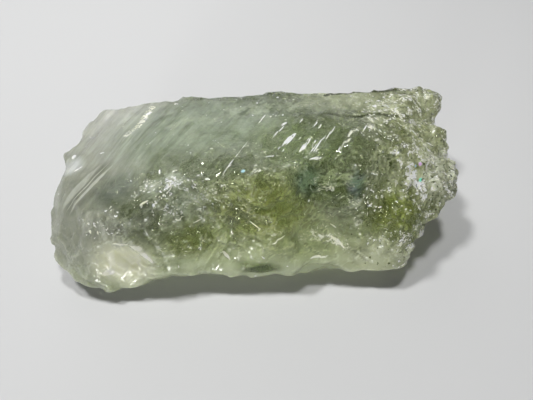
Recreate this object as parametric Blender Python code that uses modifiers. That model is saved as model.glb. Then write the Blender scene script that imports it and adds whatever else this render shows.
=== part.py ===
"""A rough piece of green quartz, broken out of a larger crystal, lying on its flattest side.

It is one solid. A block is stretched over its outer corners and broken faces are hollowed out
of it. Knobs and grains are grown on its rough right end. Then the whole skin is pushed in and out
along its own normals, to give it the prism lines, the hackle and the shell-like ripples of
broken quartz. Metres, +Z up. The origin is on the ground under the middle of the stone.
"""

import math
import random

import bmesh
import bpy
from mathutils import Matrix, Vector, kdtree, noise

# Driving dimensions
MM = 0.001
LENGTH = 78 * MM
DEPTH = 41 * MM
HEIGHT = 23 * MM

# Fineness of the skin, before and after it is thinned out
VOXEL = 0.6 * MM
TRIANGLES_KEPT = 8800
SHARP_ANGLE = math.radians(24)

# The outer corners, as shares of half the length, half the depth and the whole height
CORNERS = {
    "back edge": [(-0.85, 0.88, 0.62), (-0.50, 0.89, 0.71), (0.04, 0.90, 0.78), (0.87, 0.99, 0.82)],
    "back belly": [(-0.74, 0.93, 0.24), (-0.05, 1.0, 0.32), (0.78, 0.97, 0.28)],
    "left end": [(-0.94, 0.56, 0.57), (-1.01, 0.24, 0.54), (-1.0, -0.09, 0.43), (-1.0, -0.30, 0.39),
                 (-0.98, -0.54, 0.33), (-0.95, -0.73, 0.26)],
    "front lip": [(-0.88, -0.85, 0.20), (-0.79, -0.94, 0.15), (-0.66, -0.965, 0.165),
                  (-0.55, -0.96, 0.17), (0.55, -0.83, 0.22), (0.69, -0.79, 0.22)],
    "right end": [(0.76, -0.71, 0.24), (0.79, -0.62, 0.33), (0.84, -0.52, 0.38), (0.90, -0.34, 0.44),
                  (0.95, -0.08, 0.50), (0.95, 0.30, 0.58), (0.94, 0.62, 0.64)],
    "right foot": [(0.72, -0.52, 0.10), (0.84, -0.05, 0.13), (0.86, 0.45, 0.16), (0.84, 0.82, 0.20)],
    "crest": [(-0.81, -0.42, 0.62), (-0.61, -0.60, 0.73), (-0.42, -0.59, 0.85), (-0.24, -0.51, 0.93),
              (-0.04, -0.40, 0.98), (0.19, -0.30, 1.0), (0.41, -0.08, 0.98), (0.65, 0.05, 0.89),
              (0.78, -0.05, 0.74)],
    "sole": [(-0.74, -0.78, -0.01), (0.52, -0.55, -0.01), (0.72, -0.10, -0.01), (0.74, 0.70, -0.01),
             (0.0, 0.80, -0.01), (-0.70, 0.70, -0.01), (-0.88, 0.0, -0.01)],
}

# Hollow broken faces: a place on the skin, the way it faces, then radius and depth in millimetres
SCOOPS = {
    "front bowl": ((-0.20, -0.73, 0.48), (0.0, -0.8, 0.6), 10.0, 1.8),
    "right bowl": ((0.36, -0.56, 0.52), (0.15, -0.8, 0.6), 9.0, 1.9),
    "window scar": ((-0.57, -0.86, 0.36), (-0.15, -0.9, 0.45), 6.2, 1.3),
    "swirl": ((0.25, -0.46, 0.84), (0.0, -0.85, 0.5), 3.8, 1.4),
    "small swirl": ((0.37, -0.36, 0.88), (0.1, -0.8, 0.6), 2.6, 1.0),
    "long lip bite": ((-0.24, -0.94, 0.15), (0.0, -0.85, -0.5), 13.0, 3.0),
    "middle lip bite": ((0.08, -0.90, 0.22), (0.0, -1.0, 0.0), 12.0, 1.3),
    "short lip bite": ((0.30, -0.86, 0.22), (0.0, -0.9, -0.3), 5.4, 3.2),
    "left notch": ((-0.95, 0.42, 0.56), (-0.9, 0.4, 0.2), 2.4, 1.0),
    "left dent": ((-0.97, 0.06, 0.48), (-1.0, 0.1, 0.1), 3.0, 0.8),
    "top dip": ((-0.30, 0.34, 0.85), (0.0, 0.2, 1.0), 11.0, 0.7),
    "back edge dip": ((0.33, 0.92, 0.80), (0.0, 0.8, 0.6), 7.5, 0.8),
    "left back bowl": ((-0.45, 0.94, 0.40), (0.0, 1.0, 0.0), 11.0, 2.0),
    "right back bowl": ((0.40, 0.98, 0.45), (0.1, 1.0, 0.1), 10.0, 1.8),
    "right end bowl": ((0.80, -0.42, 0.16), (0.8, -0.6, -0.1), 6.0, 1.4),
    "left sole hollow": ((-0.45, 0.05, 0.0), (0.1, 0.15, -1.0), 11.0, 1.3),
    "middle sole hollow": ((0.02, 0.50, 0.0), (0.0, 0.2, -1.0), 9.0, 1.0),
    "right sole hollow": ((0.38, -0.10, 0.0), (-0.1, -0.15, -1.0), 9.0, 1.1),
    "sole heel": ((-0.86, 0.30, 0.04), (-0.6, 0.1, -1.0), 7.0, 1.2),
    "sole toe": ((0.72, 0.66, 0.04), (0.5, 0.4, -1.0), 7.0, 1.2),
}

# Ledges where slabs split off at the back of the top face: both ends of an edge, drop in millimetres
LEDGES = {
    "rear ledge": ((0.12, 0.74, 0.84), (0.84, 0.80, 0.84), 0.3),
    "inner ledge": ((0.28, 0.46, 0.90), (0.74, 0.46, 0.88), 0.5),
}
SLAB_SIZE = (12 * MM, 6 * MM)
SLAB_FALL = math.radians(9)

# Knobs of the rough end: a centre, then radii in millimetres along X, Y and Z
KNOBS = {
    "rear knob": ((0.870, 0.84, 0.67), (4.0, 3.6, 4.0)),
    "upper knob": ((0.845, 0.36, 0.58), (4.4, 4.4, 4.4)),
    "end knob": ((0.845, -0.04, 0.49), (5.2, 5.2, 5.4)),
    "front knob": ((0.650, -0.40, 0.42), (5.2, 5.0, 6.0)),
    "low knob": ((0.790, 0.22, 0.27), (5.4, 6.6, 4.4)),
    "top knob": ((0.640, 0.20, 0.72), (5.6, 5.0, 4.4)),
}
KNOB_CORE = 0.90
GRAINS_PER_KNOB = 16
GRAIN_SEAT = 0.74
GRAIN_RADII = (1.1, 2.3)
KNOB_SEED = 7

# Prism lines run this way over the top and left faces, seen from above
LINES_RUN = math.radians(65)
LINES_HEIGHT = 0.12
LINES_PER_MM = 0.40

# Hackle: small flat broken faces, as wide as the spacing and leaning by up to the lean
HACKLE_SPACING = 3.6
HACKLE_LEAN = 0.30
SKIN_SEED = 11

# Shell-like ripples: where the blow fell in millimetres, how far they run, their spacing and height
RIPPLES = [
    ((-15.0, -11.0, 13.0), 16.0, 2.3, 0.17),
    ((14.0, -4.0, 20.0), 13.0, 1.9, 0.20),
    ((2.0, -8.0, 21.0), 18.0, 3.3, 0.20),
    ((30.0, -6.0, 12.0), 15.0, 2.6, 0.20),
    ((-22.0, 20.0, 15.0), 24.0, 3.4, 0.20),
    ((32.0, 20.0, 6.0), 22.0, 3.0, 0.20),
    ((-38.0, -16.0, 2.0), 13.0, 2.4, 0.14),
]
RIPPLE_BEND = 2.2

# Grains of the rough end, on the skin to the right of this place
GRAINS_FROM = 20.0
GRAINS_PER_MM = 0.42
GRAINS_HEIGHT = 0.36

# Broad swells of the whole skin: how many per millimetre, their height, and how much less on top
SWELLS = [
    (0.11, 0.55, 0.5),
    (0.33, 0.22, 0.7),
]


def at(along, across, up):
    """A place in the stone, from shares of half its length, half its depth and its whole height."""
    return Vector((along * LENGTH / 2, across * DEPTH / 2, up * HEIGHT))


def add_object(name, builder, collection):
    """A new object that takes over the builder's mesh."""
    mesh = bpy.data.meshes.new(name)
    builder.to_mesh(mesh)
    builder.free()
    made = bpy.data.objects.new(name, mesh)
    collection.objects.link(made)
    return made


def apply_modifiers(made):
    """Bakes an object's modifiers into its mesh."""
    graph = bpy.context.evaluated_depsgraph_get()
    mesh = bpy.data.meshes.new_from_object(made.evaluated_get(graph))
    made.modifiers.clear()
    made.data = mesh


def subtract(target, cutter):
    cutter.hide_render = True
    cutter.display_type = "WIRE"
    cut = target.modifiers.new(cutter.name, "BOOLEAN")
    cut.operation = "DIFFERENCE"
    cut.solver = "EXACT"
    cut.object = cutter


def block(collection):
    """The block stretched over the outer corners."""
    builder = bmesh.new()
    for corners in CORNERS.values():
        for corner in corners:
            builder.verts.new(at(*corner))
    hull = bmesh.ops.convex_hull(builder, input=builder.verts)
    inside = [v for v in hull["geom_interior"] if isinstance(v, bmesh.types.BMVert)]
    bmesh.ops.delete(builder, geom=inside, context="VERTS")
    bmesh.ops.recalc_face_normals(builder, faces=builder.faces)
    return add_object("green_quartz", builder, collection)


def scoop(name, place, facing, radius, depth, collection):
    """A ball that cuts a hollow of this radius and depth into the skin at a place."""
    ball_radius = (radius**2 + depth**2) / (2 * depth) * MM
    outward = Vector(facing).normalized()
    centre = at(*place) + outward * (ball_radius - depth * MM)
    builder = bmesh.new()
    bmesh.ops.create_icosphere(
        builder, subdivisions=5, radius=ball_radius, matrix=Matrix.Translation(centre))
    return add_object(name, builder, collection)


def slab(name, start, end, drop, collection):
    """A slab whose lower front edge runs from start to end, tilted down towards the back."""
    a = at(*start)
    b = at(*end)
    run = (b - a).length
    reach, thickness = SLAB_SIZE
    builder = bmesh.new()
    bmesh.ops.create_cube(builder, size=1.0)
    bmesh.ops.scale(builder, vec=(run, reach, thickness), verts=builder.verts)
    seat = Vector((0, reach / 2, thickness / 2 - drop * MM))
    bmesh.ops.translate(builder, vec=seat, verts=builder.verts)
    turn = math.atan2(b.y - a.y, b.x - a.x)
    placed = (
        Matrix.Translation((a + b) / 2)
        @ Matrix.Rotation(turn, 4, "Z")
        @ Matrix.Rotation(-SLAB_FALL, 4, "X")
    )
    bmesh.ops.transform(builder, matrix=placed, verts=builder.verts)
    return add_object(name, builder, collection)


def grow_knobs(stone):
    """Adds the knobs and their grains as overlapping lumps, which the remesh fuses."""
    draw = random.Random(KNOB_SEED)
    builder = bmesh.new()
    builder.from_mesh(stone.data)
    for centre, radii in KNOBS.values():
        reach = Vector(radii) * MM
        lump = Matrix.LocRotScale(at(*centre), None, reach * KNOB_CORE)
        bmesh.ops.create_icosphere(builder, subdivisions=2, radius=1.0, matrix=lump)
        for _ in range(GRAINS_PER_KNOB):
            way = Vector([draw.gauss(0, 1) for _ in range(3)]).normalized()
            way.x = abs(way.x)
            place = at(*centre) + way * reach * GRAIN_SEAT
            turn = Matrix.Rotation(draw.uniform(0, math.tau), 3, way).to_quaternion()
            size = draw.uniform(*GRAIN_RADII) * MM
            grain = Matrix.LocRotScale(place, turn, Vector((size, size * 0.8, size * 1.25)))
            bmesh.ops.create_icosphere(builder, subdivisions=1, radius=1.0, matrix=grain)
    builder.to_mesh(stone.data)
    builder.free()


def hackle_faces():
    """Scattered centres of small broken faces, each with the way its face leans."""
    draw = random.Random(SKIN_SEED)
    room = Vector((LENGTH, DEPTH, HEIGHT)) / MM
    count = round(room.x * room.y * room.z / HACKLE_SPACING**3)
    centres = kdtree.KDTree(count)
    leans = []
    for index in range(count):
        place = Vector((draw.uniform(-0.5, 0.5), draw.uniform(-0.5, 0.5), draw.uniform(0, 1)))
        centres.insert(place * room, index)
        lean = Vector([draw.gauss(0, 1) for _ in range(3)]).normalized()
        leans.append(lean * draw.uniform(0, HACKLE_LEAN))
    centres.balance()
    return centres, leans


def ease(value, low, high):
    """Rises smoothly from 0 at low to 1 at high."""
    share = min(max((value - low) / (high - low), 0), 1)
    return share * share * (3 - 2 * share)


def shape_skin(stone):
    """Pushes every point of the skin in or out along its own normal."""
    noise.seed_set(SKIN_SEED)
    builder = bmesh.new()
    builder.from_mesh(stone.data)
    builder.normal_update()
    centres, leans = hackle_faces()
    run = Vector((math.cos(LINES_RUN), math.sin(LINES_RUN), 0))
    side = Vector((run.y, -run.x, 0))
    for vertex in builder.verts:
        place = vertex.co / MM
        normal = vertex.normal
        top = ease(normal.z, 0.75, 0.97) * ease(place.z, 9, 13)
        left = ease(-normal.x, 0.3, 0.7)
        right = ease(place.x, GRAINS_FROM, GRAINS_FROM + 10)
        sole = ease(-normal.z, 0.6, 0.9)

        across = place.dot(side)
        along = place.dot(run)
        bend = noise.noise(place * 0.06) * 0.5
        line = noise.noise(Vector((across * LINES_PER_MM + bend, along * 0.03, 4.2)))
        terrace = math.tanh(9 * line) * 0.5 + line
        push = terrace * LINES_HEIGHT * (top * (1 - right) + 0.5 * left)

        centre, index, _ = centres.find(place)
        break_face = (place - centre).dot(leans[index])
        rough = (1 - top * (1 - right)) * (1 - 0.6 * sole) * (1 - 0.5 * left)
        push += break_face * rough

        bent = place + noise.noise_vector(place * 0.13) * RIPPLE_BEND
        for blow, reach, spacing, height in RIPPLES:
            away = (bent - Vector(blow)).length
            fade = ease(away, 0, reach * 0.3) * (1 - ease(away, reach * 0.5, reach))
            push += math.cos(math.tau * away / spacing) * height * fade * (1 - 0.8 * top)

        cell = noise.cell(place * GRAINS_PER_MM) - 0.5
        pebble = noise.voronoi(place * GRAINS_PER_MM)[0][0]
        push += (0.5 - pebble + 0.3 * cell) * GRAINS_HEIGHT * right * (1 - sole)

        for per_mm, height, less_on_top in SWELLS:
            push += noise.noise(place * per_mm) * height * (1 - less_on_top * top)
        vertex.co += normal * push * MM
    builder.to_mesh(stone.data)
    builder.free()


def flat_sole(stone, collection):
    """Cuts the stone level, so that it lies flat."""
    builder = bmesh.new()
    bmesh.ops.create_cube(builder, size=2 * LENGTH)
    bmesh.ops.translate(builder, vec=(0, 0, -LENGTH), verts=builder.verts)
    subtract(stone, add_object("ground", builder, collection))
    apply_modifiers(stone)


def fit_to_size(stone):
    """Stretches the finished skin by a little, so that its box has the driving dimensions."""
    places = [v.co for v in stone.data.vertices]
    low = Vector([min(p[axis] for p in places) for axis in range(3)])
    high = Vector([max(p[axis] for p in places) for axis in range(3)])
    size = high - low
    stretch = Matrix.Diagonal((LENGTH / size.x, DEPTH / size.y, HEIGHT / size.z, 1))
    foot = Vector(((low.x + high.x) / 2, (low.y + high.y) / 2, low.z))
    stone.data.transform(stretch @ Matrix.Translation(-foot))


def main():
    for old in list(bpy.data.objects):
        bpy.data.objects.remove(old)
    parts = bpy.data.collections.new("rough_green_quartz")
    cutters = bpy.data.collections.new("cutters")
    bpy.context.scene.collection.children.link(parts)
    bpy.context.scene.collection.children.link(cutters)

    stone = block(parts)
    for name, shape in SCOOPS.items():
        subtract(stone, scoop(name, *shape, cutters))
    for name, shape in LEDGES.items():
        subtract(stone, slab(name, *shape, cutters))
    apply_modifiers(stone)

    grow_knobs(stone)
    fuse = stone.modifiers.new("fuse", "REMESH")
    fuse.mode = "VOXEL"
    fuse.voxel_size = VOXEL
    apply_modifiers(stone)

    shape_skin(stone)
    thin = stone.modifiers.new("thin", "DECIMATE")
    thin.ratio = TRIANGLES_KEPT / (2 * len(stone.data.polygons))
    apply_modifiers(stone)
    flat_sole(stone, cutters)
    fit_to_size(stone)

    quartz = bpy.data.materials.new("green quartz")
    quartz.use_nodes = True
    surface = quartz.node_tree.nodes["Principled BSDF"]
    surface.inputs["Base Color"].default_value = (0.32, 0.38, 0.26, 1)
    surface.inputs["Roughness"].default_value = 0.22
    surface.inputs["Metallic"].default_value = 0.0
    stone.data.materials.append(quartz)
    stone.data.shade_smooth()
    stone.data.set_sharp_from_angle(angle=SHARP_ANGLE)


main()
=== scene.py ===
"""A rough piece of pale green quartz lying on a pale surface, lit and seen as in its photograph."""

import math
import random

import bmesh
import bpy
import numpy as np
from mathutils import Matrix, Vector, bvhtree, kdtree, noise


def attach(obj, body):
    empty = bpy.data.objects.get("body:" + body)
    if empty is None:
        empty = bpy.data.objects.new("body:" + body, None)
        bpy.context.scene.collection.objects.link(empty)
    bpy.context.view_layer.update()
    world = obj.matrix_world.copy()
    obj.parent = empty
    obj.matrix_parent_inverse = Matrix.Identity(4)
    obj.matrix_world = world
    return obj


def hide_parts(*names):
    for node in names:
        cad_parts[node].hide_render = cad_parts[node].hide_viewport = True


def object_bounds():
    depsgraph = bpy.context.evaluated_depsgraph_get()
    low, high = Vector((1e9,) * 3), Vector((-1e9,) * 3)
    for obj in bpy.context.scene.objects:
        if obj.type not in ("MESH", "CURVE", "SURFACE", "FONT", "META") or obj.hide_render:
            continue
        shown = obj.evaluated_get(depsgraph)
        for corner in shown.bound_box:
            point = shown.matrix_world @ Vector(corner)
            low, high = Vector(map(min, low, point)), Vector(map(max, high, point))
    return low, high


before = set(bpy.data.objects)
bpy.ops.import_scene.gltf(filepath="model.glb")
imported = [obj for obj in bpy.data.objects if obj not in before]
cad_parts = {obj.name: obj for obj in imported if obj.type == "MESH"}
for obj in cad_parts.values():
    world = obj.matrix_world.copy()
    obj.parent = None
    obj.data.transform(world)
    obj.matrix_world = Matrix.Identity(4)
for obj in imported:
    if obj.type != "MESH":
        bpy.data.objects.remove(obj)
cad_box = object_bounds()

# The camera.
# It looks down on the stone from the front, from about a hand's width away, through a phone's lens.

MM = 0.001

camera_data = bpy.data.cameras.new("camera")
camera_data.sensor_width = 36.0
camera_data.lens = 28.03
camera_data.clip_start = 5 * MM
camera = bpy.data.objects.new("camera", camera_data)
bpy.context.scene.collection.objects.link(camera)
bpy.context.scene.camera = camera
camera.location = Vector((2.04, -52.86, 72.99)) * MM
aim = Vector((2.04, 3.15, 0.0)) * MM
camera.rotation_euler = (aim - camera.location).to_track_quat("-Z", "Y").to_euler()

# The size in pixels of the picture that the camera is matched to
PICTURE_WIDTH = 533
PICTURE_HEIGHT = 400


# The stone.
# One lump of quartz, broken on all sides but its tilted upper face, which still has the crystal's
# own growth lines. The solid gives its form, and the finer lines, ripples and grains are cut here.

SKIN_VOXEL = 0.38 * MM
SKIN_SMOOTHING = 3
SMOOTHING_SHARE = 0.5
DOUBLES_APART = 0.002 * MM
ROUNDED_FROM = 25 * MM
ROUNDING_STEPS = 3
HACKLE_SPACING = 1.7
HACKLE_LEAN = 0.17
SKIN_SEED = 23

# Growth lines: how they run, how many noise waves they have in a millimetre, and their height
GROWTH_LINES_RUN = math.radians(65)
LINES_ACROSS = 1.3
LINES_ALONG = 0.05
FINEST_ACROSS = 2.6
FINEST_ALONG = 0.09
LINE_STEEPNESS = 5
LINE_HEIGHT = 0.03

# Lumps and pebbles of the right end, and the fine roughness all over: how many there are in a
# millimetre, and their height
LUMPS = 0.38
LUMP_HEIGHT = 0.32
PEBBLES = 0.95
PEBBLE_HEIGHT = 0.08
ROUGHNESS = 0.9
ROUGHNESS_HEIGHT = 0.05

# Where the blow fell in millimetres, how far the ripples run, their spacing and their height
FINE_RIPPLES = [
    ((-15.0, -11.0, 13.0), 17.0, 1.15, 0.05),
    ((14.0, -4.0, 20.0), 13.0, 0.95, 0.07),
    ((2.0, -8.0, 21.0), 18.0, 1.4, 0.06),
    ((30.0, -6.0, 12.0), 15.0, 1.2, 0.06),
    ((-38.0, -16.0, 2.0), 13.0, 1.1, 0.05),
    ((-22.0, 20.0, 15.0), 24.0, 1.5, 0.06),
    ((32.0, 20.0, 6.0), 22.0, 1.4, 0.06),
]
# How far the ripples stray from true rings, and how many such bends there are in a millimetre
RIPPLE_STRAY = 2.0
RIPPLE_BENDS = 0.16

# Edges of old cracks: the picture's points they run through, in pixels, and their half width,
# height and brightness on the stone: a bright rim is a painted highlight, a negative brightness
# a dark line
CRACK_EDGES = {
    "window rim": ([(113, 244), (128, 243), (141, 252), (152, 259)], 0.3, 0.3, 0.0),
    "scallop rim": ([(300, 240), (310, 235), (333, 238), (348, 249)], 0.9, 0.2, 0.45),
    "upper left streak": ([(127, 135), (137, 128), (143, 121), (152, 108)], 0.8, 0.15, 0.9),
    "rear line": ([(326, 95), (353, 92), (388, 90), (415, 88)], 0.35, -0.1, -0.9),
    "inner line": ([(326, 113), (346, 116), (360, 116), (371, 114), (388, 115), (408, 117)], 0.3, -0.1, -0.7),
}
# How far a crack's rim fades out, how far it reaches from its first point, and the share of a
# height that counts when the distance to it is measured
CRACK_FADE = 0.5
CRACK_REACH = 34
CRACK_DEPTH = 0.3


def ease(value, low, high):
    """Rises smoothly from 0 at low to 1 at high."""
    share = min(max((value - low) / (high - low), 0), 1)
    return share * share * (3 - 2 * share)


def from_line(place, points):
    """How far a place is from a line through points."""
    nearest = math.inf
    for start, end in zip(points, points[1:]):
        along = end - start
        share = min(max((place - start).dot(along) / along.length_squared, 0), 1)
        nearest = min(nearest, (place - start - along * share).length)
    return nearest


def seen_at(faces, pixel):
    """Where the stone's faces show at a pixel of the picture, in millimetres."""
    focal_length = camera_data.lens / camera_data.sensor_width * PICTURE_WIDTH
    ray = Vector((pixel[0] - PICTURE_WIDTH / 2, PICTURE_HEIGHT / 2 - pixel[1], -focal_length))
    ray.rotate(camera.rotation_euler)
    return faces.ray_cast(camera.location, ray.normalized())[0] / MM


def merged_copy(node, name):
    """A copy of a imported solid, with its loose triangles joined into one closed skin."""
    builder = bmesh.new()
    builder.from_mesh(node.data)
    bmesh.ops.remove_doubles(builder, verts=builder.verts, dist=DOUBLES_APART)
    mesh = bpy.data.meshes.new(name)
    builder.to_mesh(mesh)
    builder.free()
    made = bpy.data.objects.new(name, mesh)
    bpy.context.scene.collection.objects.link(made)
    return made


def apply_modifiers(piece):
    """Turns what a piece's modifiers make of it into its own mesh."""
    graph = bpy.context.evaluated_depsgraph_get()
    mesh = bpy.data.meshes.new_from_object(piece.evaluated_get(graph))
    piece.modifiers.clear()
    piece.data = mesh


def hackle_faces():
    """Scattered centres of small broken faces, each with the way its face leans."""
    draw = random.Random(SKIN_SEED)
    low, high = (corner / MM for corner in cad_box)
    room = high - low
    count = round(room.x * room.y * room.z / HACKLE_SPACING**3)
    centres = kdtree.KDTree(count)
    leans = []
    for index in range(count):
        share = Vector([draw.random() for _ in range(3)])
        centres.insert(low + share * room, index)
        lean = Vector([draw.gauss(0, 1) for _ in range(3)]).normalized()
        leans.append(lean * draw.uniform(0, HACKLE_LEAN))
    centres.balance()
    return centres, leans


stone = merged_copy(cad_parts["green_quartz"], "green_quartz_stone")
resurface = stone.modifiers.new("resurface", "REMESH")
resurface.mode = "VOXEL"
resurface.voxel_size = SKIN_VOXEL
soften = stone.modifiers.new("soften", "SMOOTH")
soften.factor = SMOOTHING_SHARE
soften.iterations = SKIN_SMOOTHING
apply_modifiers(stone)

noise.seed_set(SKIN_SEED)
centres, leans = hackle_faces()
rounded = bmesh.new()
rounded.from_mesh(stone.data)
for _ in range(ROUNDING_STEPS):
    lobes = [point for point in rounded.verts if point.co.x > ROUNDED_FROM]
    bmesh.ops.smooth_vert(
        rounded, verts=lobes, factor=SMOOTHING_SHARE, use_axis_x=True, use_axis_y=True, use_axis_z=True)
rounded.to_mesh(stone.data)
rounded.free()

run = Vector((math.cos(GROWTH_LINES_RUN), math.sin(GROWTH_LINES_RUN), 0))
side = Vector((run.y, -run.x, 0))
stone_faces = bvhtree.BVHTree.FromObject(stone, bpy.context.evaluated_depsgraph_get())
cracks = []
for points, half_width, height, brightness in CRACK_EDGES.values():
    points = [seen_at(stone_faces, pixel) * Vector((1, 1, CRACK_DEPTH)) for pixel in points]
    cracks.append((points, half_width, height, brightness))

glints_and_lines = []
skin = bmesh.new()
skin.from_mesh(stone.data)
skin.normal_update()
for point in skin.verts:
    place = point.co / MM
    normal = point.normal

    # How much of the top, the left end, the right end, the rear rim and the foot is here
    top = ease(normal.z, 0.75, 0.95) * ease(place.z, 9, 13)
    left = ease(-normal.x, 0.3, 0.7)
    right = ease(place.x, 20, 30)
    smooth_top = top * (1 - right)
    back_rim = ease(place.y, 10, 14) * ease(place.z, 12, 15)
    foot = 1 - ease(place.z, 3, 7)
    calm = 1 - 0.8 * max(back_rim, foot)

    across = place.dot(side)
    along = place.dot(run)
    fine = noise.noise(Vector((across * LINES_ACROSS, along * LINES_ALONG, 1.7)))
    finest = noise.noise(Vector((across * FINEST_ACROSS, along * FINEST_ALONG, 8.1)))
    lines = math.tanh(LINE_STEEPNESS * fine) * LINE_HEIGHT + finest * LINE_HEIGHT
    push = lines * (smooth_top + 0.6 * left)

    centre, index, _ = centres.find(place)
    hackle = (place - centre).dot(leans[index])
    push += hackle * (1 - smooth_top) * (1 - 0.6 * left) * (1 - 0.5 * right) * calm

    bent = place + noise.noise_vector(place * RIPPLE_BENDS) * RIPPLE_STRAY
    for blow, reach, spacing, height in FINE_RIPPLES:
        away = (bent - Vector(blow)).length
        fade = ease(away, 0, reach * 0.3) * (1 - ease(away, reach * 0.6, reach))
        push += math.cos(math.tau * away / spacing) * height * fade * (1 - smooth_top) * calm

    lump = noise.voronoi(place * LUMPS)[0]
    pebble = noise.voronoi(place * PEBBLES)[0][0]
    push += (ease(lump[1] - lump[0], 0, 0.4) - 0.7) * LUMP_HEIGHT * right * calm
    push += (0.45 - pebble) * PEBBLE_HEIGHT * right
    push += noise.noise(place * ROUGHNESS) * ROUGHNESS_HEIGHT

    # Painted highlights along the bright crack rims, and dark lines where the brightness is below naught
    white = 0
    level = Vector((place.x, place.y, place.z * CRACK_DEPTH))
    for points, half_width, height, brightness in cracks:
        if (level - points[0]).length > CRACK_REACH:
            continue
        share = 1 - from_line(level, points) / (half_width + CRACK_FADE)
        if share > 0:
            push += height * share
            white += brightness * ease(share, 0.2, 0.7)
    glints_and_lines.append(white)

    point.co += normal * push * MM
    for axis in range(3):
        point.co[axis] = min(max(point.co[axis], cad_box[0][axis]), cad_box[1][axis])
skin.to_mesh(stone.data)
skin.free()
stone.data.shade_smooth()
# Kept on the skin for the material: the crack rims' painted highlights and dark lines
lines_layer = stone.data.attributes.new("crack_glints_and_lines", "FLOAT", "POINT")
lines_layer.data.foreach_set("value", glints_and_lines)

# How far each point stands out from its neighbours: thin edges are paler, and creases are darker with painted
# shade
places = np.empty(len(stone.data.vertices) * 3)
stone.data.vertices.foreach_get("co", places)
places = places.reshape(-1, 3)
normals = np.empty(places.size)
stone.data.vertex_normals.foreach_get("vector", normals)
normals = normals.reshape(-1, 3)
ends = np.empty(len(stone.data.edges) * 2, dtype=int)
stone.data.edges.foreach_get("vertices", ends)
ends = ends.reshape(-1, 2)
sums = np.zeros(places.shape)
counts = np.zeros(len(places))
for one, other in ((0, 1), (1, 0)):
    np.add.at(sums, ends[:, one], places[ends[:, other]])
    np.add.at(counts, ends[:, one], 1)
proud = ((places - sums / counts[:, None]) * normals).sum(axis=1) / MM
edges_layer = stone.data.attributes.new("edge", "FLOAT", "POINT")
edges_layer.data.foreach_set("value", proud)


class Socket:
    """A node's output, on which sums, differences and products add their Math nodes."""

    def __init__(self, shader, socket):
        self.shader = shader
        self.socket = socket

    def also(self, output):
        """Another output of the same node."""
        return Socket(self.shader, self.socket.node.outputs[output])

    def __add__(self, other):
        return self.shader.maths(self, other)

    def __sub__(self, other):
        return self.shader.maths(self, other, "SUBTRACT")

    def __rsub__(self, other):
        return self.shader.maths(other, self, "SUBTRACT")

    def __mul__(self, other):
        return self.shader.maths(self, other, "MULTIPLY")

    __radd__ = __add__
    __rmul__ = __mul__


class Shader:
    """A material's nodes, each added by its type, its settings and what goes into its sockets."""

    def __init__(self, name):
        self.material = bpy.data.materials.new(name)
        self.material.use_nodes = True
        self.tree = self.material.node_tree
        self.tree.nodes.clear()

    def node(self, kind, settings=None, sockets=None, output=0):
        """Adds a node and gives one of its outputs, or the node itself if it has none."""
        made = self.tree.nodes.new(kind)
        for name, value in (settings or {}).items():
            setattr(made, name, value)
        for name, value in (sockets or {}).items():
            if isinstance(value, Socket):
                self.tree.links.new(value.socket, made.inputs[name])
            else:
                made.inputs[name].default_value = value
        return Socket(self, made.outputs[output]) if made.outputs else made

    def maths(self, first, second=0.0, operation="ADD"):
        """One Math node."""
        return self.node("ShaderNodeMath", {"operation": operation}, {0: first, 1: second})

    def vector(self, operation, *sockets, output=0):
        """One Vector Math node."""
        return self.node("ShaderNodeVectorMath", {"operation": operation}, dict(enumerate(sockets)), output)

    def noise(self, where, scale, detail=2.0, roughness=0.5, distortion=0.0):
        """Cloudy noise around a half, with its scale in waves per metre."""
        sockets = {
            "Vector": where,
            "Scale": scale,
            "Detail": detail,
            "Roughness": roughness,
            "Distortion": distortion,
        }
        return self.node("ShaderNodeTexNoise", {}, sockets)

    def cells(self, where, feature, scale):
        """Scattered cells, with their scale in cells per metre."""
        return self.node("ShaderNodeTexVoronoi", {"feature": feature}, {"Vector": where, "Scale": scale})

    def between(self, value, low, high):
        """Rises smoothly from 0 at low to 1 at high."""
        sockets = {"Value": value, 1: low, 2: high, 3: 0.0, 4: 1.0}
        return self.node("ShaderNodeMapRange", {"interpolation_type": "SMOOTHSTEP"}, sockets)

    def mixed(self, share, first, second):
        """A colour that goes from the first to the second."""
        sockets = {0: share, 6: first, 7: second}
        return self.node("ShaderNodeMix", {"data_type": "RGBA"}, sockets, output=2)

    def blob(self, where, centre, radii, turn=(0, 0, 0), edge=(1.25, 0.35)):
        """1 in the middle of an egg-shaped region, 0 outside it. In millimetres and degrees."""
        outer, inner = edge
        local = self.node("ShaderNodeMapping", {"vector_type": "TEXTURE"}, {
            "Vector": where,
            "Location": [c * MM for c in centre],
            "Rotation": [math.radians(angle) for angle in turn],
            "Scale": [r * outer * MM for r in radii],
        })
        settings = {"gradient_type": "SPHERICAL"}
        nearness = self.node("ShaderNodeTexGradient", settings, {"Vector": local}, output=1)
        return self.between(nearness, 0.0, 1 - inner / outer)

    def stretched(self, where, turn, length):
        """Coordinates in which a noise is drawn out along a direction, in degrees about Z."""
        return self.node("ShaderNodeMapping", {"vector_type": "TEXTURE"}, {
            "Vector": where,
            "Rotation": (0, 0, math.radians(turn)),
            "Scale": (length, 1.0, 1.0),
        })


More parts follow.
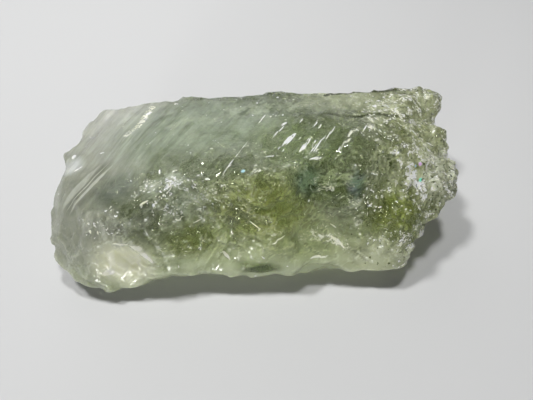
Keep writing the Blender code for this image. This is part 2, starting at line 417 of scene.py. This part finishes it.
# Parts of the stone that differ in look: middle and reach in millimetres, how milky they are,
# the milk's colour and the clear quartz's tint
ZONES = {
    "front": ((3, -14, 9), (32, 7, 9), 0.33, (0.70, 0.77, 0.46), (0.89, 0.94, 0.62)),
    "plane": ((-28, 8, 15), (15, 18, 12), 0.78, (0.60, 0.61, 0.55), (0.92, 0.94, 0.88)),
    "left end": ((-34, -10, 8), (17, 20, 15), 0.55, (0.50, 0.52, 0.43), (0.86, 0.89, 0.78)),
    "left knob": ((-35.2, 0.8, 13.8), (2.6, 2.4, 3.5), 0.75, (0.72, 0.74, 0.71), (0.95, 0.97, 0.92)),
    "smoky hollow": ((-24.0, -8, 16.5), (5, 4, 5), 0.28, (0.42, 0.46, 0.40), (0.72, 0.78, 0.68)),
    "top": ((-8, 6, 18), (22, 13, 8), 0.38, (0.47, 0.55, 0.42), (0.86, 0.93, 0.80)),
    "crest": ((-13, -10, 19), (8, 4, 5), 0.42, (0.60, 0.66, 0.52), (0.90, 0.94, 0.80)),
    "left rim": ((-25, -13, 14), (7, 3, 4), 0.42, (0.62, 0.64, 0.54), (0.84, 0.87, 0.78)),
    "right band": ((25, 14, 18.5), (20, 6, 6), 0.74, (0.48, 0.52, 0.36), (0.88, 0.91, 0.60)),
    "right end": ((33, 0, 14), (15, 26, 24), 0.40, (0.63, 0.67, 0.42), (0.88, 0.92, 0.58)),
    "end knob": ((34, -2, 14), (5, 7, 6), 0.64, (0.68, 0.71, 0.54), (0.92, 0.95, 0.70)),
    "lip": ((2, -19, 4), (44, 6, 7), 0.84, (0.53, 0.58, 0.40), (0.90, 0.94, 0.72)),
    "lip lobe": ((24, -15, 6), (11, 4, 5), 0.78, (0.54, 0.57, 0.40), (0.90, 0.93, 0.70)),
    "window": ((-23.0, -16.8, 8.5), (6.5, 5, 5.5), 0.95, (0.88, 0.89, 0.68), (0.96, 0.97, 0.80)),
    "heart": ((2, -11.5, 17), (11, 6, 7), 0.12, (0.55, 0.60, 0.20), (0.80, 0.87, 0.27)),
    "olive spot": ((-11, -14, 11), (5, 4, 3), 0.12, (0.42, 0.46, 0.20), (0.66, 0.72, 0.26)),
    "right heart": ((25, -10.5, 14), (6, 5, 6), 0.16, (0.44, 0.51, 0.16), (0.72, 0.79, 0.20)),
    "glint face": ((9, 0, 22), (10, 9, 6), 0.20, (0.47, 0.58, 0.34), (0.82, 0.93, 0.64)),
    "swirl": ((13.3, -8, 18), (4.2, 3, 4), 0.12, (0.40, 0.48, 0.26), (0.50, 0.64, 0.32)),
    "first teal": ((8.8, -8, 19.7), (3.4, 3, 4.5), 0.04, (0.16, 0.24, 0.17), (0.10, 0.20, 0.12)),
    "second teal": ((17.7, -7, 17.3), (1.8, 2.4, 3.5), 0.25, (0.30, 0.40, 0.36), (0.14, 0.26, 0.20)),
    "foot patch": ((0.9, -17.1, 6.6), (4.2, 2, 1.4), 0.0, (0.20, 0.26, 0.10), (0.10, 0.15, 0.04)),
}
ELSEWHERE_MILKINESS = 0.12

# Painted highlights on the top, for glints off inner cracks: the picture's pixel, then half length
# and half width on the stone in millimetres, and turn in degrees
TOP_GLINTS = {
    "long streak": ((236, 156), 5.5, 0.08, 66),
    "faint streak": ((262, 119), 1.7, 0.12, 64),
    "upper patch": ((284, 124), 0.9, 0.30, 50),
    "small upper patch": ((302, 120), 0.8, 0.15, 60),
    "side streak": ((275, 135), 1.6, 0.16, 64),
    "first sheaf, left": ((286, 141), 1.8, 0.24, 64),
    "first sheaf": ((290, 139), 2.1, 0.34, 64),
    "first sheaf, right": ((293, 137), 1.5, 0.18, 64),
    "second sheaf": ((306, 144), 2.4, 0.36, 64),
    "second sheaf, low": ((302, 148), 1.4, 0.18, 64),
    "third streak": ((314, 147), 2.1, 0.16, 64),
    "fourth streak": ((318, 145), 2.2, 0.15, 64),
    "fifth streak": ((323, 139), 2.2, 0.13, 64),
    "sixth streak": ((328, 136), 1.9, 0.10, 64),
    "seventh streak": ((333, 130), 1.6, 0.10, 64),
    "right pair, left": ((365, 128), 1.5, 0.12, 64),
    "right pair, right": ((371, 128), 1.3, 0.10, 64),
    "ridge spark, left": ((271, 156), 1.2, 0.16, 5),
    "ridge spark, right": ((316, 158), 1.3, 0.20, 20),
    "crest spark": ((207, 179), 0.4, 0.25, 0),
    "crest line": ((200, 175), 0.7, 0.15, 5),
    "upper left spark": ((149, 114), 0.8, 0.30, 45),
    "rear left spark": ((176, 104), 0.5, 0.25, 0),
    "left spark": ((102, 153), 0.5, 0.16, 0),
    "knob spark": ((74, 157), 0.5, 0.6, 0),
    "knob line": ((78, 169), 0.9, 0.2, 30),
}
TOP_GLINT_DEPTH = 2

# Painted highlights, glints on the front: the picture's pixel, half length, half height and fall in degrees
FRONT_GLINTS = {
    "window rim, left": ((120, 243), 1.7, 0.30, -8),
    "window rim, middle": ((136, 247), 1.2, 0.40, 32),
    "window rim, right": ((148, 257), 1.6, 0.42, 50),
    "window corner": ((109, 273), 1.2, 0.5, 0),
    "first rim spark": ((90, 232), 0.28, 0.28, 0),
    "second rim spark": ((98, 233), 0.2, 0.3, 0),
    "crest foot": ((144, 203), 0.8, 0.14, -8),
    "upper curve": ((180, 219), 0.9, 0.11, 20),
    "lower curve": ((197, 221), 0.8, 0.12, -5),
    "low streak": ((226, 254), 1.3, 0.15, 42),
    "middle streak": ((255, 225), 1.3, 0.12, 25),
    "right curve": ((333, 225), 0.8, 0.11, 35),
    "scallop streak": ((335, 238), 1.1, 0.14, 40),
    "scallop streak, low": ((341, 243), 0.9, 0.12, 40),
    "scallop line": ((279, 240), 1.6, 0.14, -20),
    "lip rim": ((319, 257), 1.9, 0.16, 4),
}
FRONT_GLINT_DEPTH = 1.2
GLINT_EDGE = (1.25, 0.6)

# A painted sheen, a soft pale patch beside the streaks: the picture's pixel, reach in millimetres and turn in
# degrees
SHEEN_PIXEL = (350, 136)
SHEEN_REACH = (2.8, 0.9, 2)
SHEEN_TURN = 60
SHEEN_EDGE = (1.2, 0.6)

# Painted coloured glints, specks where a thin inner crack splits the light: the picture's pixel,
# radius in millimetres and colour
COLOURED_SPECKS = {
    "violet": ((420, 164), 0.35, (0.80, 0.50, 0.90)),
    "green": ((421, 180), 0.40, (0.25, 0.85, 0.62)),
    "blue": ((416, 166), 0.30, (0.50, 0.70, 0.95)),
    "crest blue": ((243, 171), 0.40, (0.50, 0.78, 0.95)),
}
SPECK_EDGE = (1.3, 0.6)

# Bands of the left end: middle in millimetres, half length and half width
BANDS = [
    (-32.3, -4.7, 5.0, 0.80),
    (-30.7, -5.0, 5.8, 0.14),
    (-29.7, -5.6, 5.4, 0.42),
]
BANDS_TURN = 50
BANDS_MIDDLE = (-30.2, -5.2, 14.5)
BANDS_REACH = (6.5, 3.2, 4)
BAND_EDGE = (1.3, 0.7)
BANDS_ZONE_EDGE = (1.2, 0.7)

# Colours: the clear quartz and the milk outside the zones, each from one end of a noise to the
# other, then the dark pits and specks with the painted shade of seams and creases, the left end's
# bands, the painted highlights of pale vein lines and glints, and the whitest painted glints
CLEAR_LOW = (0.78, 0.86, 0.66, 1)
CLEAR_HIGH = (0.96, 0.98, 0.88, 1)
MILK_LOW = (0.44, 0.49, 0.36, 1)
MILK_HIGH = (0.56, 0.61, 0.48, 1)
SPECK_AND_SHADE_COLOUR = (0.16, 0.20, 0.07, 1)
BAND_COLOUR = (0.68, 0.69, 0.62, 1)
CREAM_GLINT = (0.97, 0.97, 0.80, 1)
WHITE_GLINT = (0.97, 0.97, 0.96, 1)

QUARTZ_IOR = 1.544
ABSORPTION_COLOUR = (0.68, 0.74, 0.36, 1)
ABSORPTION_PER_METRE = 40.0
SCATTER_REACH = 3 * MM

quartz = Shader("green_quartz")
where = quartz.node("ShaderNodeTexCoord", output=3)
lines_turn = math.degrees(GROWTH_LINES_RUN)
along_lines = quartz.stretched(where, lines_turn, length=9.0)

# Noises, from broad clouds to hair-thin growth lines
broad = quartz.noise(where, scale=55.0, detail=3.0, roughness=0.55)
patchy = quartz.noise(where, scale=210.0, detail=5.0, roughness=0.62, distortion=0.4)
wisps = quartz.noise(where, scale=300.0, detail=6.0, roughness=0.66, distortion=1.6)
streaks = quartz.noise(along_lines, scale=420.0, detail=4.0, roughness=0.62)
fine_lines = quartz.noise(along_lines, scale=1500.0, detail=2.0, roughness=0.6)
# The crack rims' painted highlights, and their dark lines below naught
crack = quartz.node("ShaderNodeAttribute", {"attribute_name": "crack_glints_and_lines"}, output=2)
relief = quartz.node("ShaderNodeAttribute", {"attribute_name": "edge"}, output=2)
thin_edge = quartz.between(relief, 0.01, 0.05)
# Creases, where painted shade darkens the stone
crease = quartz.between(relief, -0.01, -0.05)

tint = quartz.mixed(broad, CLEAR_LOW, CLEAR_HIGH)
milk_colour = quartz.mixed(broad, MILK_LOW, MILK_HIGH)
milk = quartz.maths(ELSEWHERE_MILKINESS)
zone = {}
for name, (centre, radii, milkiness, colour, clear_tint) in ZONES.items():
    zone[name] = quartz.blob(where, centre, radii)
    milk = milk + zone[name] * (milkiness - milk)
    milk_colour = quartz.mixed(zone[name], milk_colour, (*colour, 1))
    tint = quartz.mixed(zone[name], tint, (*clear_tint, 1))

# Cloudiness, drawn out along the growth lines on the smooth parts
smooth_parts = zone["plane"] * 0.7 + zone["top"] * 0.5 + zone["lip"] * 0.8
smooth_parts = quartz.maths(smooth_parts, zone["window"], "MAXIMUM")
smooth_parts = quartz.maths(smooth_parts, zone["left end"] * 0.5, "MAXIMUM")
rough_parts = zone["crest"] + zone["right end"] + zone["left rim"]
shade = (patchy - 0.5) * (1 - smooth_parts) * (rough_parts * 1.2 + 1.2)
shade = shade + (streaks - 0.5) * (zone["plane"] * 0.4 + zone["top"] * 0.4)
shade = shade + (fine_lines - 0.5) * (zone["plane"] * 0.4 + zone["top"] * 0.2)
milk = milk + shade * 0.7
brightness = quartz.node("ShaderNodeCombineColor", {}, {
    0: shade * 0.5 + 1.0,
    1: shade * 0.5 + 1.0,
    2: shade * 0.55 + 1.0,
})
milk_colour = quartz.node("ShaderNodeMix", {"data_type": "RGBA", "blend_type": "MULTIPLY"}, {
    0: 1.0,
    6: milk_colour,
    7: brightness,
}, output=2)

# The left end's bright bands, side by side with darker gaps
bands_height = BANDS_MIDDLE[2]
bands_depth = BANDS_REACH[2]
bands_turn = (0, 0, BANDS_TURN)
band_share = quartz.maths(0.0)
for x, y, half_length, half_width in BANDS:
    radii = (half_length, half_width, bands_depth)
    band_share = band_share + quartz.blob(where, (x, y, bands_height), radii, bands_turn, BAND_EDGE)
band_share = band_share * (streaks * 0.8 + 0.3)
band_zone = quartz.blob(where, BANDS_MIDDLE, BANDS_REACH, bands_turn, BANDS_ZONE_EDGE)
milk = milk + band_share * 0.5 - band_zone * 0.2
milk_colour = quartz.mixed(band_share * 0.8, milk_colour, BAND_COLOUR)

# Fine broken relief: small flat faces that lean all ways, and hair-thin growth lines
bend = quartz.noise(where, scale=420.0, detail=3.0, roughness=0.6).also(1)
bent = quartz.vector("MULTIPLY_ADD", bend, (2 * MM, 2 * MM, 2 * MM), where)
facet_share = zone["crest"] + zone["right end"] * 0.7 + zone["left rim"] * 0.8
facet_share = facet_share + zone["swirl"] * 0.5 + 0.5
facet_share = facet_share * (1 - smooth_parts)
height = quartz.maths(0.0)
for facets_per_metre, share in ((700.0, 0.5), (1700.0, 0.7)):
    cell = quartz.cells(bent, "F1", facets_per_metre)
    lean = quartz.vector("SUBTRACT", cell.also(1), (0.5, 0.5, 0.5))
    offset = quartz.vector("SUBTRACT", bent, cell.also(2))
    facets = quartz.vector("DOT_PRODUCT", lean, offset, output=1)
    height = height + facets * facet_share * share
line_share = zone["glint face"] * 2.0 + zone["left end"] * 0.6 + 0.10
height = height + fine_lines * (0.10 * MM) * line_share
height = height + quartz.noise(where, scale=2600.0, detail=3.0, roughness=0.6) * (0.02 * MM)
bumped = quartz.node("ShaderNodeBump", {}, {"Strength": 1.0, "Distance": 1.0, "Height": height})

# Seams between the right end's grains, some darker with painted shade and some pale with painted highlights
grain = quartz.cells(bent, "DISTANCE_TO_EDGE", 620.0)
seams = quartz.between(grain, 0.16, 0.05) * quartz.between(zone["right end"], 0.2, 0.7)
seam_shade = seams * quartz.between(wisps, 0.52, 0.42)
seam_highlights = seams * quartz.between(wisps, 0.48, 0.58)

# Bright flecks as painted sparkles, and the stone's own dark flecks: a small share of fine
# cells, larger where the stone is broken
fleck_cell = quartz.cells(bent, "F1", 3000.0)
fleck_chance = quartz.node("ShaderNodeSeparateColor", {}, {0: fleck_cell.also(1)})
fleck_zone = zone["crest"] * 0.24 + zone["right end"] * 0.19 + zone["left rim"] * 0.06
fleck_zone = fleck_zone + zone["top"] * 0.003 + 0.0015
fleck_zone = fleck_zone * (1 - zone["right heart"] * 0.85)
fleck_zone = fleck_zone * (quartz.between(wisps, 0.45, 0.62) * 2.0)
flecks = quartz.maths(fleck_chance, fleck_zone, "LESS_THAN") * (fleck_chance.also(2) * 0.5 + 0.5)
dark_chance = 1 - zone["right end"] * quartz.between(wisps, 0.55, 0.45) * 0.11
dark_flecks = quartz.maths(fleck_chance.also(1), dark_chance, "GREATER_THAN")

# Pale vein lines and hair lines of inner cracks, drawn partly as painted highlights, along the middle level
# of a noise
vein_noise = quartz.noise(where, scale=320.0, detail=4.0, roughness=0.55, distortion=0.9)
from_vein = quartz.maths(vein_noise - 0.5, 0.0, "ABSOLUTE")
vein_places = quartz.between(patchy, 0.45, 0.55) * (1 - smooth_parts)
vein_glints = quartz.between(from_vein, 0.030, 0.008) * vein_places
hair_noise = quartz.noise(where, scale=620.0, detail=3.0, roughness=0.5, distortion=1.4)
from_hair = quartz.maths(hair_noise - 0.5, 0.0, "ABSOLUTE")
hair_glints = quartz.between(from_hair, 0.050, 0.015) * quartz.between(wisps, 0.50, 0.58) * (1 - smooth_parts)

# Darkening of the clear quartz: its own dark specks, dark lines near the rear rim, and painted shade in the
# seams and creases
dark_line = quartz.between(crack, -0.1, -0.6)
dark = quartz.maths(dark_flecks, seam_shade * 0.35, "MAXIMUM")
dark = quartz.maths(dark, dark_line * 0.85, "MAXIMUM")
dark = quartz.maths(dark, crease * (1 - smooth_parts) * 0.28, "MAXIMUM")
tint = quartz.mixed(dark, tint, SPECK_AND_SHADE_COLOUR)

# Painted highlights: glints, each broken up into strands or wisps, with the crack rims, sheen,
# sparkles and thin lights that join them
strand_noise = quartz.noise(quartz.stretched(where, lines_turn, length=14.0), scale=2800.0, roughness=0.6)
strands = quartz.between(strand_noise, 0.40, 0.50)
top_glints = quartz.between(fine_lines, 0.63, 0.68) * quartz.between(zone["glint face"], 0.3, 0.8) * 0.8
for pixel, half_length, half_width, turn in TOP_GLINTS.values():
    middle = seen_at(stone_faces, pixel)
    radii = (half_length, half_width, TOP_GLINT_DEPTH)
    top_glints = top_glints + quartz.blob(where, middle, radii, (0, 0, turn), GLINT_EDGE)
front_glints = quartz.maths(0.0)
for pixel, half_length, half_height, fall in FRONT_GLINTS.values():
    middle = seen_at(stone_faces, pixel)
    radii = (half_length, FRONT_GLINT_DEPTH, half_height)
    front_glints = front_glints + quartz.blob(where, middle, radii, (0, fall, 0), GLINT_EDGE)
top_glints = top_glints * (strands * 0.8 + 0.2)
front_glints = front_glints * (quartz.between(wisps, 0.36, 0.48) * 0.5 + 0.5)
glitter = quartz.maths(fleck_chance, 0.5, "LESS_THAN")
crack_light = quartz.between(crack, 0.0, 0.8) * (glitter * 0.7 + quartz.between(wisps, 0.44, 0.54) * 0.3)
sheen_middle = seen_at(stone_faces, SHEEN_PIXEL)
sheen = quartz.blob(where, sheen_middle, SHEEN_REACH, (0, 0, SHEEN_TURN), SHEEN_EDGE)
sheen = sheen * quartz.between(wisps, 0.44, 0.56)
thin_lights = vein_glints * 0.45 + hair_glints * (rough_parts * 0.35 + zone["swirl"] * 0.5 + 0.4) + seam_highlights * 0.5
thin_lights = thin_lights * (1 - zone["right heart"] * 0.6)
# All painted highlights together, mixed into the milk's colour
bright = crack_light + top_glints + front_glints * 1.2 + flecks + thin_lights + sheen * 0.7
bright = quartz.between(bright, 0.1, 0.9)
milk_colour = quartz.mixed(bright, milk_colour, CREAM_GLINT)
milk_colour = quartz.mixed(quartz.between(top_glints + flecks, 0.1, 0.9), milk_colour, WHITE_GLINT)
for pixel, radius, colour in COLOURED_SPECKS.values():
    middle = seen_at(stone_faces, pixel)
    speck = quartz.blob(where, middle, (radius, radius, radius), edge=SPECK_EDGE)
    milk_colour = quartz.mixed(speck, milk_colour, (*colour, 1))
    milk = milk + speck * 0.8
milk = milk + thin_edge * 0.15
milk = milk * (1 - dark)
milk = quartz.maths(milk, bright * 0.92, "MAXIMUM")

clear = quartz.node("ShaderNodeBsdfPrincipled", {}, {
    "Base Color": tint,
    "Roughness": quartz.between(patchy, 0.42, 0.62) * 0.22 + 0.03,
    "IOR": QUARTZ_IOR,
    "Transmission Weight": 1.0,
    "Normal": bumped,
})
milky = quartz.node("ShaderNodeBsdfPrincipled", {}, {
    "Base Color": milk_colour,
    "Roughness": 0.08,
    "IOR": QUARTZ_IOR,
    "Subsurface Weight": 1.0,
    "Subsurface Radius": (1.0, 1.0, 0.8),
    "Subsurface Scale": SCATTER_REACH,
    "Normal": bumped,
})
quartz_surface = quartz.node("ShaderNodeMixShader", {}, {0: milk, 1: clear, 2: milky})
quartz_inside = quartz.node("ShaderNodeVolumeAbsorption", {}, {
    "Color": ABSORPTION_COLOUR,
    "Density": ABSORPTION_PER_METRE,
})
quartz.node("ShaderNodeOutputMaterial", {}, {"Surface": quartz_surface, "Volume": quartz_inside})

stone.data.materials.clear()
stone.data.materials.append(quartz.material)
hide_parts("green_quartz")
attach(stone, "root")


# The surface it lies on.
# A wide pale floor, left plain. It is a little below the stone's sole, so that the two don't flicker.

FLOOR_SIZE = 2.0
FLOOR_COLOUR = (0.645, 0.647, 0.646, 1)

bpy.ops.mesh.primitive_plane_add(size=FLOOR_SIZE)
ground = bpy.context.object
ground.name = "ground"
pale_ground = Shader("pale_ground")
ground_surface = pale_ground.node("ShaderNodeBsdfPrincipled", {}, {
    "Base Color": FLOOR_COLOUR,
    "Roughness": 0.9,
})
pale_ground.node("ShaderNodeOutputMaterial", {}, {"Surface": ground_surface})
ground.data.materials.append(pale_ground.material)
ground.location.z = -0.02 * MM


# The light.
# Two small lamps overhead make the shadows and the glints. A broad one behind, a low one in front
# and the sky fill them in.

def soft_light(name, place, size, power):
    """A round lamp that faces the stone, with its place and size in millimetres and power in watts."""
    lamp = bpy.data.lights.new(name, "AREA")
    lamp.shape = "DISK"
    lamp.size = size * MM
    lamp.energy = power
    made = bpy.data.objects.new(name, lamp)
    bpy.context.scene.collection.objects.link(made)
    made.location = Vector(place) * MM
    made.rotation_euler = (-made.location).to_track_quat("-Z", "Y").to_euler()


soft_light("left_lamp", (-172, 90, 405), size=60, power=1.05)
soft_light("back_lamp", (15, 85, 440), size=60, power=0.84)
soft_light("room", (-120, -330, 62), size=80, power=0.38)
soft_light("window", (-120, 400, 290), size=360, power=0.35)

world = bpy.data.worlds.new("daylight")
bpy.context.scene.world = world
world.use_nodes = True
sky = world.node_tree.nodes["Background"]
sky.inputs["Color"].default_value = (0.93, 0.97, 1.0, 1)
sky.inputs["Strength"].default_value = 0.045
bpy.context.scene.view_settings.view_transform = "Standard"
bpy.context.scene.cycles.max_bounces = 16
bpy.context.scene.cycles.transmission_bounces = 14
